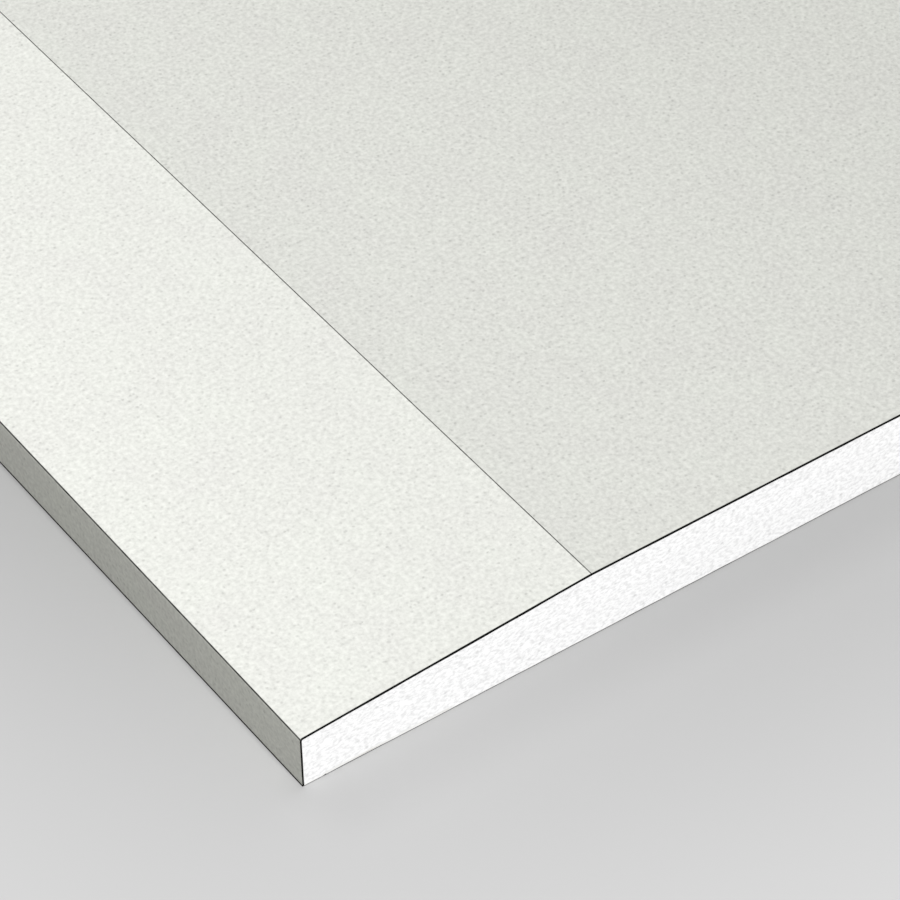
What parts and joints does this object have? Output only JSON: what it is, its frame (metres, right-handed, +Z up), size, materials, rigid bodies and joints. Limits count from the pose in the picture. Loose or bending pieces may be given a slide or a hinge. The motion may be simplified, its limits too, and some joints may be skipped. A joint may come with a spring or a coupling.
{
  "type": "drywall sheet",
  "caption": "Gypsum plasterboard sheet with tapered long edges, a paper-wrapped core and bare cut ends, lying flat with its face up.",
  "frame": {"origin": "middle of the underside, on the surface that the sheet lies on", "axes": "+X along the sheet's length, +Y across its width, +Z up, out of the face"},
  "size_m": [2.4, 1.2, 0.0125],
  "materials": {
    "gypsum": "matte, white and finely pitted where it is cut",
    "face_paper": "matte light ivory-grey paper with a fine fibre grain",
    "back_paper": "matte grey-brown recycled paper"
  },
  "bodies": {
    "root": {"gypsum_core": "gypsum", "face_paper": "face_paper", "back_paper": "back_paper"}
  },
  "joints": []
}
